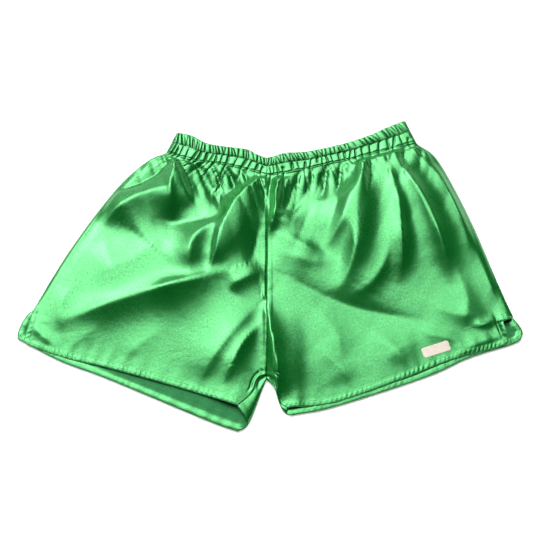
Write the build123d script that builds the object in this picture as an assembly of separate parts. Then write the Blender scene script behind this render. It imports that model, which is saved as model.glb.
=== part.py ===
from build123d import *
from math import cos, exp, pi
import os

# Satin boxing shorts, relaxed and laid flat with the front up.
# +Z is up from the table, +Y runs from the hems towards the waist, and +X is the wearer's left.
# x = 0 is the line of the two rise seams, where the left and right halves join and fold.
# Lengths are in millimetres.

# Driving dimensions
HEM_SPREAD = 634.0       # hem corner to hem corner
GARMENT_LENGTH = 437.0   # highest waist corner to lowest back hem
BAND = 38.0              # elastic casing, top fold to edge stitching
CHANNEL = 20.0           # upper channel of the casing, which holds the elastic
CLOTH = 0.5              # satin
HEM_TURN = 9.0           # width of the turned hem
HEM_PLY = 0.6            # the two turned plies of the hem
ELASTIC_WIDTH = 18.0
ELASTIC_THICK = 1.2
THREAD = 0.8             # width of a row of stitching
THREAD_HIGH = 0.4
OVERLOCK = 6.0           # width of an overlocked seam allowance
CROWN = 19.0             # how far the front stands above its side edges
SIDE_HEIGHT = 6.5        # height of the front cloth at the side seams
HALF_GAP = 0.1           # each half stops this far from the fold line
AIR = 0.05               # gap between pieces that lie on one another
PATCH = (36.0, 13.0)     # plain printed patch
PRINT = 0.2

X_END = HEM_SPREAD / 2
Y_END = GARMENT_LENGTH / 2
RIGHT, LEFT = -1, 1      # sides of the wearer, as the sign of x

# Plan outline of each half, from the waist down. The waist was laid off centre, so the halves differ.
WAIST_TOP = {
    RIGHT: [(0, 158), (-50, 177), (-125, 199)],
    LEFT: [(0, 158), (46, 172), (101, 182), (157, 204), (194, Y_END)],
}
BAND_END = {RIGHT: (-136, 166), LEFT: (206, 181)}
SIDE = {
    RIGHT: [BAND_END[RIGHT], (-163, 156), (-204, 112), (-259, 23), (-301, -62)],
    LEFT: [BAND_END[LEFT], (234, 158), (271, 68), (302, -33), (309, -60)],
}
FRONT_VENT = {RIGHT: (-308, -88), LEFT: (293, -82)}
BACK_VENT = {RIGHT: (-X_END, -86.5), LEFT: (X_END, -82.6)}
FRONT_HEM = {
    RIGHT: [(-303, -109), (-195, -139), (-94, -169), (-37, -187)],
    LEFT: [(302, -107), (165, -155), (82, -184), (27, -190)],
}
BACK_HEM = {
    RIGHT: [(-301, -111), (-196, -153), (-71, -205), (-32, -Y_END)],
    LEFT: [(303, -111), (196, -151), (84, -189), (30, -197)],
}
CROTCH = (0, -159)


def plan(curve):
    """A plan face from the edges of a closed outline."""
    return make_face(Curve() + curve)


def half_outline(side, vent, hem):
    """Plan face of one front or back panel: waist, band end, side seam, vent, hem, inseam and rise."""
    gap = side * HALF_GAP
    top = [(gap, WAIST_TOP[side][0][1])] + WAIST_TOP[side][1:]
    crotch = (gap, CROTCH[1])
    return plan(
        [
            Spline(*top),
            Line(top[-1], BAND_END[side]),
            Spline(*SIDE[side]),
            ThreePointArc(SIDE[side][-1], vent[side], hem[side][0]),
            Spline(*hem[side]),
            Line(hem[side][-1], crotch),
            Line(crotch, top[0]),
        ]
    )


def ribbon(line, width):
    """Plan face of a strip of even width along a line."""
    faces = [make_face(face.outer_wire()) for face in trace(line, width).faces()]
    return Sketch() + faces


def prism(face, low=-5.0, high=60.0):
    return extrude(Pos(0, 0, low) * face, high - low, dir=(0, 0, 1))


def half_space(side):
    """Everything on one side of the fold line."""
    middle = side * (HALF_GAP + X_END)
    return Pos(middle, 0, 20) * Box(HEM_SPREAD, 2 * GARMENT_LENGTH, 100)


def side_reach(y, side):
    """Rough distance from the fold line to the side seam at a given y."""
    top, hem = (135, 300) if side == RIGHT else (206, 305)
    share = min(1.0, max(0.0, (170 - y) / 230))
    return top + (hem - top) * share**0.8


def front_height(x, y):
    """Height of the underside of the front cloth. It is crowned over each leg and dips at the rise seam."""
    side = RIGHT if x < 0 else LEFT
    share = min(1.0, abs(x) / side_reach(y, side))
    crown = CROWN * cos(pi / 2 * share) ** 0.8
    dip = 1 - 0.6 * exp(-((x / 45) ** 2))
    along = 0.45 + 0.55 * exp(-(((y - 20) / 130) ** 4))
    return SIDE_HEIGHT + crown * dip * along


def front_surface():
    columns, rows = 41, 25
    xs = [-330 + 660 * i / (columns - 1) for i in range(columns)]
    ys = [-230 + 460 * j / (rows - 1) for j in range(rows)]
    points = [[(x, y, front_height(x, y)) for y in ys] for x in xs]
    return Face.make_surface_from_array_of_points(points, tol=0.05)


SURFACE = front_surface()


def front_layer(face, low, high):
    """The part of a plan face between two heights above the underside of the front cloth."""
    sheet = Solid.extrude(Pos(0, 0, low) * SURFACE, Vector(0, 0, high - low))
    return prism(face) & sheet


def flat_layer(face, low, high):
    return prism(face, low, high)


def under_front(face, low, below):
    """A plan face from height low up to a distance below the underside of the front cloth."""
    block = Solid.extrude(Pos(0, 0, -below) * SURFACE, Vector(0, 0, -80))
    return prism(face, low, 60) & block


def hem_line(side, vent, hem):
    return Curve() + [
        ThreePointArc(SIDE[side][-1], vent[side], hem[side][0]),
        Spline(*hem[side]),
    ]


def waist_line(side, down):
    """Points of the waist edge, moved down the band."""
    end = WAIST_TOP[side][-1][0]
    lean = (BAND_END[side][0] - end) * down / BAND
    return [(x + lean * x / end, y - down) for x, y in WAIST_TOP[side]]


def band_strip(side, top, bottom, inset):
    """Plan face across one half of the waistband, between two distances from its top fold.

    It stops short of the band's end by inset.
    """
    upper, lower = waist_line(side, top), waist_line(side, bottom)
    strip = plan(
        [
            Spline(*upper),
            Line(upper[-1], lower[-1]),
            Spline(*lower),
            Line(lower[0], upper[0]),
        ]
    )
    beyond = 5.0
    (x1, y1), (x0, y0) = WAIST_TOP[side][-1], BAND_END[side]
    grow = beyond / BAND
    end = Line((x1 + (x1 - x0) * grow, y1 + (y1 - y0) * grow), (x0 - (x1 - x0) * grow, y0 - (y1 - y0) * grow))
    return strip - ribbon(end, 2 * inset)


# Depths of the pieces in the waistband, measured down from the underside of the front cloth
ELASTIC_TOP = AIR
FACING_TOP = ELASTIC_TOP + ELASTIC_THICK + AIR
FACING_LOW = FACING_TOP + CLOTH
# Heights of the same pieces in the back waistband, above the table
BACK_ELASTIC = CLOTH + AIR
BACK_FACING = BACK_ELASTIC + ELASTIC_THICK + 0.6
FACING_INSET = 6.0
ELASTIC_INSET = 3.0
TOP_FOLD = 0.8           # thickness of the fold at the waist's top edge


def front_panel(side):
    """Front cloth with its turned hem, and the casing folded over to the inside."""
    outline = half_outline(side, FRONT_VENT, FRONT_HEM)
    hem = ribbon(hem_line(side, FRONT_VENT, FRONT_HEM), 2 * HEM_TURN) & outline
    cloth = front_layer(outline, 0, CLOTH)
    turned = front_layer(hem, -HEM_PLY, CLOTH / 2)
    facing = front_layer(band_strip(side, 0.1, BAND, FACING_INSET), -FACING_LOW, -FACING_TOP)
    fold = front_layer(band_strip(side, 0.1, TOP_FOLD, FACING_INSET), -FACING_LOW, CLOTH / 2)
    edge = front_layer(band_strip(side, BAND - TOP_FOLD, BAND, FACING_INSET), -FACING_LOW, CLOTH / 2)
    return (cloth + turned + facing + fold + edge) & half_space(side)


def back_panel(side):
    """Back cloth, flat on the table, with its turned hem and folded casing."""
    outline = half_outline(side, BACK_VENT, BACK_HEM)
    hem = ribbon(hem_line(side, BACK_VENT, BACK_HEM), 2 * HEM_TURN) & outline
    cloth = flat_layer(outline, 0, CLOTH)
    turned = flat_layer(hem, CLOTH / 2, CLOTH + HEM_PLY)
    facing = flat_layer(band_strip(side, 0.1, BAND, FACING_INSET), BACK_FACING, BACK_FACING + CLOTH)
    fold = flat_layer(band_strip(side, 0.1, TOP_FOLD, FACING_INSET), CLOTH / 2, BACK_FACING + CLOTH)
    edge = flat_layer(
        band_strip(side, BAND - TOP_FOLD, BAND, FACING_INSET), CLOTH / 2, BACK_FACING + CLOTH
    )
    return (cloth + turned + facing + fold + edge) & half_space(side)


def waist_elastic():
    """One closed loop of knitted elastic, flattened in the upper channel, front and back."""
    top, bottom = 1.5, 1.5 + ELASTIC_WIDTH
    loop = None
    for side in (RIGHT, LEFT):
        strip = band_strip(side, top, bottom, ELASTIC_INSET)
        inner = band_strip(side, top, bottom, ELASTIC_INSET + ELASTIC_THICK)
        front = front_layer(strip, -ELASTIC_TOP - ELASTIC_THICK, -ELASTIC_TOP)
        back = flat_layer(strip, BACK_ELASTIC, BACK_ELASTIC + ELASTIC_THICK)
        turn = under_front(strip - inner, BACK_ELASTIC, ELASTIC_TOP)
        half = front + back + turn
        loop = half if loop is None else loop + half
    return loop


def on_front(line):
    """A row of stitching lying on the outside of the front cloth."""
    return front_layer(ribbon(line, THREAD), CLOTH + AIR, CLOTH + AIR + THREAD_HIGH)


def on_back(line, height):
    """A row of stitching lying on the inside of the back cloth."""
    return flat_layer(ribbon(line, THREAD), height + AIR, height + AIR + THREAD_HIGH)


def row(side, down):
    """A row of stitching across one half of the waistband."""
    return Spline(*waist_line(side, down))


def inside_hem(side, hem, offset):
    """A line that follows a hem, offset up the leg."""
    points = [(x, y + offset) for x, y in hem[side]]
    first, last = points[0], points[-1]
    points[0] = (first[0] - side * offset, first[1] + offset / 3)
    points[-1] = (last[0] + side * offset / 2, last[1])
    return Spline(*points)


def between_layers(line, width, back_top, front_low):
    """An overlocked seam allowance that fills the space between the back and the front cloth."""
    return under_front(ribbon(line, width), back_top + AIR, front_low + AIR)


def side_seam(side):
    inset = OVERLOCK / 2 + 1
    points = [(x - side * inset, y) for x, y in SIDE[side][1:]]
    (x1, y1), (x0, y0) = points[-1], points[-2]
    short = (HEM_TURN + OVERLOCK) / (y0 - y1)
    points[-1] = (x1 + (x0 - x1) * short, y1 + (y0 - y1) * short)
    return between_layers(Spline(*points), OVERLOCK, CLOTH, 0)


def inseam(side):
    inner = side * OVERLOCK
    start = (inner, CROTCH[1] + 4)
    end = (FRONT_HEM[side][-1][0] + inner, FRONT_HEM[side][-1][1] + HEM_TURN + OVERLOCK)
    return between_layers(Line(start, end), OVERLOCK, CLOTH, 0)


def rise_strip(top, bottom, side=LEFT):
    middle, tall = (top + bottom) / 2, top - bottom
    return Pos(side * (HALF_GAP + OVERLOCK / 2), middle) * Rectangle(OVERLOCK, tall)


def front_rise():
    return front_layer(rise_strip(WAIST_TOP[LEFT][0][1] - BAND - 4, CROTCH[1] + 14), -1.0 - AIR, -AIR)


def back_rise():
    strip = rise_strip(WAIST_TOP[LEFT][0][1] - BAND - 4, CROTCH[1] + 14)
    return flat_layer(strip, CLOTH + AIR, CLOTH + AIR + 1.0)


def patch():
    """Plain printed patch above the left front hem."""
    face = Pos(212, -115) * Rot(0, 0, 18) * RectangleRounded(*PATCH, 2.0)
    return front_layer(face, CLOTH + AIR, CLOTH + AIR + PRINT)


def shorts():
    """Every node by name."""
    nodes = {
        "waist_elastic": waist_elastic(),
        "front_rise_overlock": front_rise(),
        "back_rise_overlock": back_rise(),
        "printed_patch": patch(),
    }
    hem_row = HEM_TURN - 2
    for side, name in ((RIGHT, "right"), (LEFT, "left")):
        nodes[f"front_panel_{name}"] = front_panel(side)
        nodes[f"back_panel_{name}"] = back_panel(side)
        nodes[f"side_seam_overlock_{name}"] = side_seam(side)
        nodes[f"inseam_overlock_{name}"] = inseam(side)
        nodes[f"hem_stitching_front_{name}"] = on_front(inside_hem(side, FRONT_HEM, hem_row))
        nodes[f"hem_stitching_back_{name}"] = on_back(
            inside_hem(side, BACK_HEM, hem_row), CLOTH + HEM_PLY
        )
        for label, down in (("channel", CHANNEL), ("casing_edge", BAND - 1.5)):
            line = row(side, down)
            nodes[f"{label}_stitching_front_{name}"] = on_front(line) & half_space(side)
            nodes[f"{label}_stitching_back_{name}"] = on_back(line, BACK_FACING + CLOTH) & half_space(side)
    return nodes


os.makedirs("parts", exist_ok=True)
for node, shape in shorts().items():
    export_step(shape, f"parts/{node}.step")
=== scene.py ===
"""Satin boxing shorts laid flat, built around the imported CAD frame. Plan sizes below are in millimetres."""

import math

import bpy
import numpy as np
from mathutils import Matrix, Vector
from mathutils.bvhtree import BVHTree


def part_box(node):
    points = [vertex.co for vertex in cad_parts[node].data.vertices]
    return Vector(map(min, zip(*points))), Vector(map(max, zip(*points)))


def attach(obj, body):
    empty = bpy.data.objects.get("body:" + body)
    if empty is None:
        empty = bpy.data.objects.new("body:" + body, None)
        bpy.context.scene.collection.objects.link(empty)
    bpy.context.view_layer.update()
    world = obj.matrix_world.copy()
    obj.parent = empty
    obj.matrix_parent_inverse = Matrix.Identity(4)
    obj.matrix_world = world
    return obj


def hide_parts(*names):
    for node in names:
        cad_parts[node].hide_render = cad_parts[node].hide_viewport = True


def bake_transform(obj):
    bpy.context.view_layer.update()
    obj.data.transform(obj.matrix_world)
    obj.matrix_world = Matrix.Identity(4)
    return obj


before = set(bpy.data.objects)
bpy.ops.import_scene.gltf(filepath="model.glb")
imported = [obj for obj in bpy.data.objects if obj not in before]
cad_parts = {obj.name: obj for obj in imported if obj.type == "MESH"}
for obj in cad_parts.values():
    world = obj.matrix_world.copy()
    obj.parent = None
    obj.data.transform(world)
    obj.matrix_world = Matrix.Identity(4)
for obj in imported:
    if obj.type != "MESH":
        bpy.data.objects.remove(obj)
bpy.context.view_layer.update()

MM = 0.001
RIGHT, LEFT = -1, 1
SIDE_NAME = {RIGHT: "right", LEFT: "left"}

# ---------------------------------------------------------------- plan outline
# The outline is that of the CAD panels, slackened by handling.
BAND = 38.0
CHANNEL = 20.0
WAIST_TOP = {
    RIGHT: [(0, 158), (-14, 164), (-27, 171.5), (-64, 177), (-84, 182), (-102, 193), (-124, 198.5)],
    LEFT: [(0, 158), (8, 160), (26, 166), (55, 168), (101, 179), (142, 194), (163, 205), (192, 218)],
}
WAIST_LOW = {
    RIGHT: [(0, 131), (-16, 137), (-40, 143), (-66, 149), (-95, 152.5), (-120, 160), (-137, 167)],
    LEFT: [(0, 131), (25, 134), (45, 138.5), (70, 145), (95, 151), (122, 158), (180, 175), (206, 182)],
}
BAND_END = {RIGHT: (-137, 167), LEFT: (206, 182)}
SIDE = {
    RIGHT: [BAND_END[RIGHT], (-163, 155), (-204, 110), (-257, 22), (-297, -62)],
    LEFT: [BAND_END[LEFT], (234, 156), (271, 64), (300, -33), (313, -73)],
}
CROTCH = {"front": (0, -149), "back": (0, -154)}
VENT = {
    "front": {
        RIGHT: [(-299.5, -71), (-301, -80), (-303.5, -93)],
        LEFT: [(307, -73), (301.5, -75.5), (299, -81), (300.5, -87), (303, -96)],
    },
    "back": {RIGHT: [(-304, -69), (-310, -81), (-313, -92)], LEFT: [(319, -82), (322.5, -89)]},
}
HEM_LINE = {
    "front": {
        RIGHT: [(-305, -104), (-295, -111), (-249, -127), (-195, -140), (-94, -169), (-36, -188.5)],
        LEFT: [(304, -105), (289, -113), (228, -130), (165, -155), (82, -184), (26, -190.5)],
    },
    "back": {
        RIGHT: [(-313, -100), (-306, -104), (-256, -130), (-196, -153), (-71, -206), (-35, -219)],
        LEFT: [(322.5, -95), (312, -106), (254, -125), (196, -151), (84, -188), (31, -199)],
    },
}
INNER_LEG = {
    "front": {
        RIGHT: [(-8, -151), (-13, -159), (-15.5, -168), (-24, -178)],
        LEFT: [(6, -151), (11, -160), (17, -183)],
    },
    "back": {
        RIGHT: [(-4.5, -165), (-13.5, -190), (-18, -202), (-25, -214)],
        LEFT: [(5, -159), (10, -165.5), (15.5, -183), (19, -192), (24, -197.5)],
    },
}


def smooth(edge0, edge1, x):
    """0 before the first edge, rising smoothly to 1 at the second."""
    t = np.clip((x - edge0) / (edge1 - edge0), 0, 1)
    return t * t * (3 - 2 * t)


def bell(x, centre, width):
    """1 at the centre, falling smoothly to 0 on both sides of it."""
    return np.exp(-(((x - centre) / width) ** 2))


def run_length(points):
    """How far along a line of points each of them lies."""
    return np.concatenate([[0], np.cumsum(np.linalg.norm(np.diff(points, axis=0), axis=1))])


def spline(points, t):
    """Points at the fractions t of the length of a smooth curve through the given points."""
    p = np.array(points, float)
    if len(p) == 2:
        return p[0] + (p[1] - p[0]) * np.asarray(t)[:, None]
    ext = np.vstack([2 * p[0] - p[1], p, 2 * p[-1] - p[-2]])
    dense = []
    for i in range(len(p) - 1):
        a, b, c, d = ext[i : i + 4]
        s = np.linspace(0, 1, 40, endpoint=False)[:, None]
        # Catmull-Rom segment from b to c
        dense.append(
            0.5 * (2 * b + (c - a) * s + (2 * a - 5 * b + 4 * c - d) * s**2 + (3 * b - a - 3 * c + d) * s**3)
        )
    dense = np.vstack(dense + [p[-1:]])
    length = run_length(dense)
    at = np.asarray(t) * length[-1]
    return np.stack([np.interp(at, length, dense[:, k]) for k in range(2)], 1)


def waist_line(side, down):
    """Points of the waist edge, moved down the band."""
    share = down / BAND
    t = np.linspace(0, 1, 25)
    return spline(WAIST_TOP[side], t) * (1 - share) + spline(WAIST_LOW[side], t) * share


def joined(first, second, t, share):
    """Points along two curves laid end to end, which meet at the fraction share."""
    a = spline(first, np.clip(t / share, 0, 1))
    b = spline(second, np.clip((t - share) / (1 - share), 0, 1))
    return np.where((t < share)[:, None], a, b)


INNER_SHARE = 0.87
OUTER_SHARE = 0.84


def body_plan(layer, side, u, v):
    """Plan points of one half of a layer below the waistband: u from the seam out, v from the band down."""
    hem = HEM_LINE[layer][side]
    top = spline(waist_line(side, BAND), u)
    bottom = spline(hem[::-1], u)
    leg = [CROTCH[layer]] + INNER_LEG[layer][side] + [hem[-1]]
    inner = joined([WAIST_LOW[side][0], CROTCH[layer]], leg, v, INNER_SHARE)
    outer = joined(SIDE[side], [SIDE[side][-1]] + VENT[layer][side] + [hem[0]], v, OUTER_SHARE)
    uu, vv = u[None, :, None], v[:, None, None]
    ruled = (1 - vv) * top[None] + vv * bottom[None] + (1 - uu) * inner[:, None] + uu * outer[:, None]
    corner = (
        (1 - uu) * (1 - vv) * top[0]
        + uu * (1 - vv) * top[-1]
        + (1 - uu) * vv * bottom[0]
        + uu * vv * bottom[-1]
    )
    return ruled - corner


# ---------------------------------------------------------------- folds of the front
def rounded(distance, radius):
    """0 at an edge, rising like a quarter circle to 1 at the given distance from it."""
    return np.sqrt(1 - (1 - np.clip(distance / radius, 0, 1)) ** 2)


def from_path(x, y, path):
    """Distance of plan points from a path, and how far along it the nearest point lies."""
    best, along = np.full(x.shape, 1e9), np.zeros(x.shape)
    run = 0.0
    for p, d in zip(path[:-1], np.diff(path, axis=0)):
        length = math.hypot(*d)
        t = np.clip(((x - p[0]) * d[0] + (y - p[1]) * d[1]) / length**2, 0, 1)
        dist = np.hypot(x - p[0] - t * d[0], y - p[1] - t * d[1])
        along = np.where(dist < best, run + t * length, along)
        best = np.minimum(best, dist)
        run += length
    return best, along


def fold_field(x, y, line, dark, light, height):
    """Height of one fold at plan points: a crest along a line, tapering out at both ends.

    Its flank to the left of the line's direction is dark wide, the other flank light wide.
    """
    path = spline(line, np.linspace(0, 1, 28))
    best = np.full(x.shape, 1e9)
    along = np.zeros(x.shape)
    across = np.zeros(x.shape)
    for i, (p, d) in enumerate(zip(path[:-1], np.diff(path, axis=0))):
        t = np.clip(((x - p[0]) * d[0] + (y - p[1]) * d[1]) / float(d @ d), 0, 1)
        dx, dy = x - p[0] - t * d[0], y - p[1] - t * d[1]
        dist2 = dx * dx + dy * dy
        closer = dist2 < best
        best = np.where(closer, dist2, best)
        along = np.where(closer, (i + t) / (len(path) - 1), along)
        across = np.where(closer, np.sign(d[0] * dy - d[1] * dx) * np.sqrt(dist2), across)
    taper = smooth(-0.22, 0.42, along) * smooth(1.03, 0.6, along)
    flank = smooth(-2.5, 2.5, across)
    local = (light + (dark - light) * flank) * (0.8 + 0.3 * taper)
    return height * taper * np.exp(-((across**2 + 1.0) / local**2) ** 0.62)


# Each fold: points of its line in the plan, width of its flanks to the left and right of it, height of its
# crest. A valley has a negative height.
FOLDS = [
    # wearer's right half
    ([(-122, 158), (-127, 120), (-126, 84), (-118, 60)], 15, 12, 7.5),
    ([(-92, 152), (-99, 132), (-92, 112), (-86, 88)], 8, 11, -2.8),
    ([(-74, 144), (-79, 122), (-68, 98), (-64, 84)], 8, 10, -2.6),
    ([(-54, 138), (-63, 110), (-60, 72)], 6, 8, -3.2),
    ([(-34, 136), (-44, 116), (-58, 96)], 8, 10, -2.6),
    ([(-110, 152), (-114, 128), (-106, 100), (-98, 78)], 8, 9, 2.4),
    ([(-4, 131), (-26, 106), (-42, 84), (-56, 50), (-66, 12), (-77, -19)], 32, 7, 12),
    ([(-52, 62), (-82, 46), (-98, 22), (-99, -24)], 22, 26, 9.5),
    ([(-74, -18), (-103, -26), (-163, -44), (-215, -62), (-268, -82)], 22, 24, 6.5),
    ([(-54, -12), (-100, -27), (-156, -43)], 27, 10, 5),
    ([(-66, 66), (-96, 62), (-130, 60), (-158, 58)], 16, 22, -4.5),
    ([(-122, 108), (-150, 102), (-178, 90), (-200, 74), (-216, 52)], 30, 20, 8.5),
    ([(-132, 152), (-152, 130), (-176, 115), (-206, 102)], 5, 9, -3.5),
    ([(-4, -10), (-25, -19), (-52, -38)], 12, 16, 4),
    ([(-8, 60), (-16, 20), (-26, -8)], 14, 14, -3),
    ([(-6, -80), (-26, -104), (-38, -125), (-54, -165)], 11, 9, 4),
    ([(-16, -62), (-44, -96), (-66, -128), (-84, -164)], 12, 34, 4),
    ([(-130, -88), (-160, -110), (-182, -134)], 14, 18, 0.8),
    ([(-212, -86), (-236, -104), (-252, -122)], 12, 16, 0.8),
    ([(-296, -76), (-286, -94), (-262, -112)], 6, 8, 2.2),
    ([(-214, 34), (-200, -10), (-192, -48)], 24, 26, 2.0),
    ([(-140, 34), (-176, 4), (-232, -18)], 22, 20, 1.8),
    ([(-250, -30), (-262, -60), (-255, -95)], 12, 14, 1.6),
    # wearer's left half
    ([(130, -88), (160, -116), (186, -150)], 14, 22, 1.6),
    ([(206, -52), (244, -70), (284, -64)], 12, 16, 1.6),
    ([(246, -10), (256, -50), (244, -92)], 16, 18, 2.0),
    ([(60, -62), (86, -92), (96, -132)], 18, 20, 1.6),
    ([(20, 14), (56, 4), (92, 6)], 14, 16, 1.8),
    ([(18, 132), (12, 96), (11, 72), (3, 40)], 28, 5, 9),
    ([(4, 43), (28, 35), (54, 22), (78, 17)], 12, 26, 3.5),
    ([(126, 140), (122, 112), (108, 78), (92, 46), (74, 18)], 18, 26, 6),
    ([(32, 134), (29, 110), (18, 74), (8, 56)], 8, 10, -3.2),
    ([(36, 116), (30, 88), (14, 62)], 18, 16, -4),
    ([(52, 134), (55, 112), (44, 88), (26, 64)], 9, 12, -3.3),
    ([(72, 136), (77, 114), (66, 86)], 9, 11, -3.0),
    ([(92, 142), (98, 120), (88, 92)], 9, 10, -2.8),
    ([(110, 148), (114, 128), (104, 100)], 8, 9, -2.4),
    ([(132, 160), (127, 130), (121, 100), (118, 70), (117, 40), (113, 10), (103, -20), (86, -42)],
     28, 16, 11),
    ([(158, 160), (167, 122), (173, 90), (175, 46), (174, 0), (168, -30)], 15, 18, 8),
    ([(160, 30), (150, -4), (130, -31), (102, -47)], 10, 14, 2.5),
    ([(170, 166), (184, 134), (200, 104), (213, 70), (224, 36), (232, 0), (236, -30)], 23, 14, 10),
    ([(200, 168), (226, 136), (246, 96), (259, 50), (266, 4)], 14, 16, 3.5),
    ([(278, 60), (286, 20), (290, -24), (280, -60)], 12, 14, 2.2),
    ([(26, -16), (44, -28), (70, -42), (110, -58), (160, -70), (214, -80)], 10, 26, -2.4),
    ([(-1, -60), (5, -96), (11, -140), (18, -184)], 21, 6, 10),
    ([(190, -88), (216, -98), (250, -104)], 14, 12, 1.2),
    ([(150, -128), (172, -112), (196, -104)], 12, 14, 0.8),
    ([(60, -110), (92, -140), (108, -166)], 16, 22, 1.8),
    ([(296, -98), (262, -110), (228, -128)], 7, 10, 3.5),
    ([(292, -72), (276, -82), (258, -84)], 5, 6, 2.0),
]


FOLD_STRENGTH = 1.6


def side_reach(side, y):
    """How far out the side of the shorts lies at a height in the plan."""
    line = spline(SIDE[side] + VENT["back"][side], np.linspace(0, 1, 60))
    order = np.argsort(line[:, 1])
    return np.interp(y, line[order, 1], np.abs(line[order, 0]))


EDGE_HEIGHT = 2.6


def hem_gap(side, x):
    """Height of the front hem above the table: low, and open where the leg's inner fold holds it up."""
    opening = 5.5 * bell(x, -42, 26) if side == RIGHT else 2.5 * bell(x, 34, 14)
    return 2.9 + opening + 2.2 * bell(x, 303, 12) + 0.9 * bell(abs(x), 150, 45)


def crown(side, x, y):
    """Broad height of the front above the table, before its folds."""
    inside = np.clip(side_reach(side, y) - np.abs(x), 0, None)
    hem, _ = from_path(x, y, spline(HEM_LINE["front"][side], np.linspace(0, 1, 24)))
    leg, _ = from_path(x, y, np.array([CROTCH["front"]] + INNER_LEG["front"][side], float))
    edge = rounded(inside, 26) * (0.45 + 0.55 * rounded(leg, 22))
    dip = 1 - 0.3 * bell(x, 0, 22)
    along = 0.7 + 0.3 * np.exp(-(((y - 20) / 130) ** 4))
    full = EDGE_HEIGHT + 6.0 * edge * dip * along
    share = np.clip(hem / 140, 0, 1) ** 1.2
    return hem_gap(side, x) * (1 - share) + full * share


def gathers(x, down, seed):
    """Folds that run down from the waistband, merging as they go, as round ridges and narrow valleys."""
    rng = np.random.default_rng(seed)
    total = np.zeros(x.shape)
    for spacing, reach, height in ((21, 34, 2.4), (38, 75, 1.2)):
        phase = x / spacing + 0.35 * np.sin(x / (spacing * 2.7) + rng.uniform(0, 6))
        sway = 0.3 * np.sin(down / (reach * 1.1) + rng.uniform(0, 6)) + 0.012 * down * np.sign(x)
        wave = np.abs(np.sin(np.pi * (phase + sway) + rng.uniform(0, 6))) ** 0.8 * 2 - 1.25
        total += height * wave * np.exp(-((down / reach) ** 1.5))
    return total


def front_start(side, plan):
    """Height of the front before the simulation settles it."""
    x, y = plan[..., 0], plan[..., 1]
    z = crown(side, x, y)
    inside = side_reach(side, y) - np.abs(x)
    down = np.linalg.norm(plan - plan[:1], axis=-1)
    folds = gathers(x, down, 4)
    for line, dark, light, height in FOLDS:
        folds = folds + FOLD_STRENGTH * fold_field(x, y, line, dark, light, height)
    hem, _ = from_path(x, y, spline(HEM_LINE["front"][side], np.linspace(0, 1, 24)))
    z = z + folds * smooth(0, 14, inside) * (0.3 + 0.7 * smooth(0, 35, hem))
    low = 2.2
    return np.where(z > low, z, low + 0.25 * (z - low))


# ---------------------------------------------------------------- meshes
def add_to_scene(name, data):
    obj = bpy.data.objects.new(name, data)
    bpy.context.scene.collection.objects.link(obj)
    return obj


def new_mesh(name, points, faces):
    """A mesh object from points in millimetres."""
    mesh = bpy.data.meshes.new(name)
    mesh.from_pydata((np.asarray(points) * MM).tolist(), [], faces)
    mesh.update()
    return add_to_scene(name, mesh)


def grid_faces(rows, columns, first=0, flip=False):
    """Square faces of a grid of points whose first point has the given number."""
    i, j = np.meshgrid(np.arange(rows - 1), np.arange(columns - 1), indexing="ij")
    a = first + i * columns + j
    quad = np.stack([a, a + columns, a + columns + 1, a + 1], -1).reshape(-1, 4)
    return (quad[:, ::-1] if flip else quad).tolist()


SIM_COLUMNS, SIM_ROWS = 80, 86
SIM_FRAMES = 14
SLACK = 0.006
WAIST_SLACK = 0.03
HOLD = 0.4
BENDING = 8.0


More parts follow.
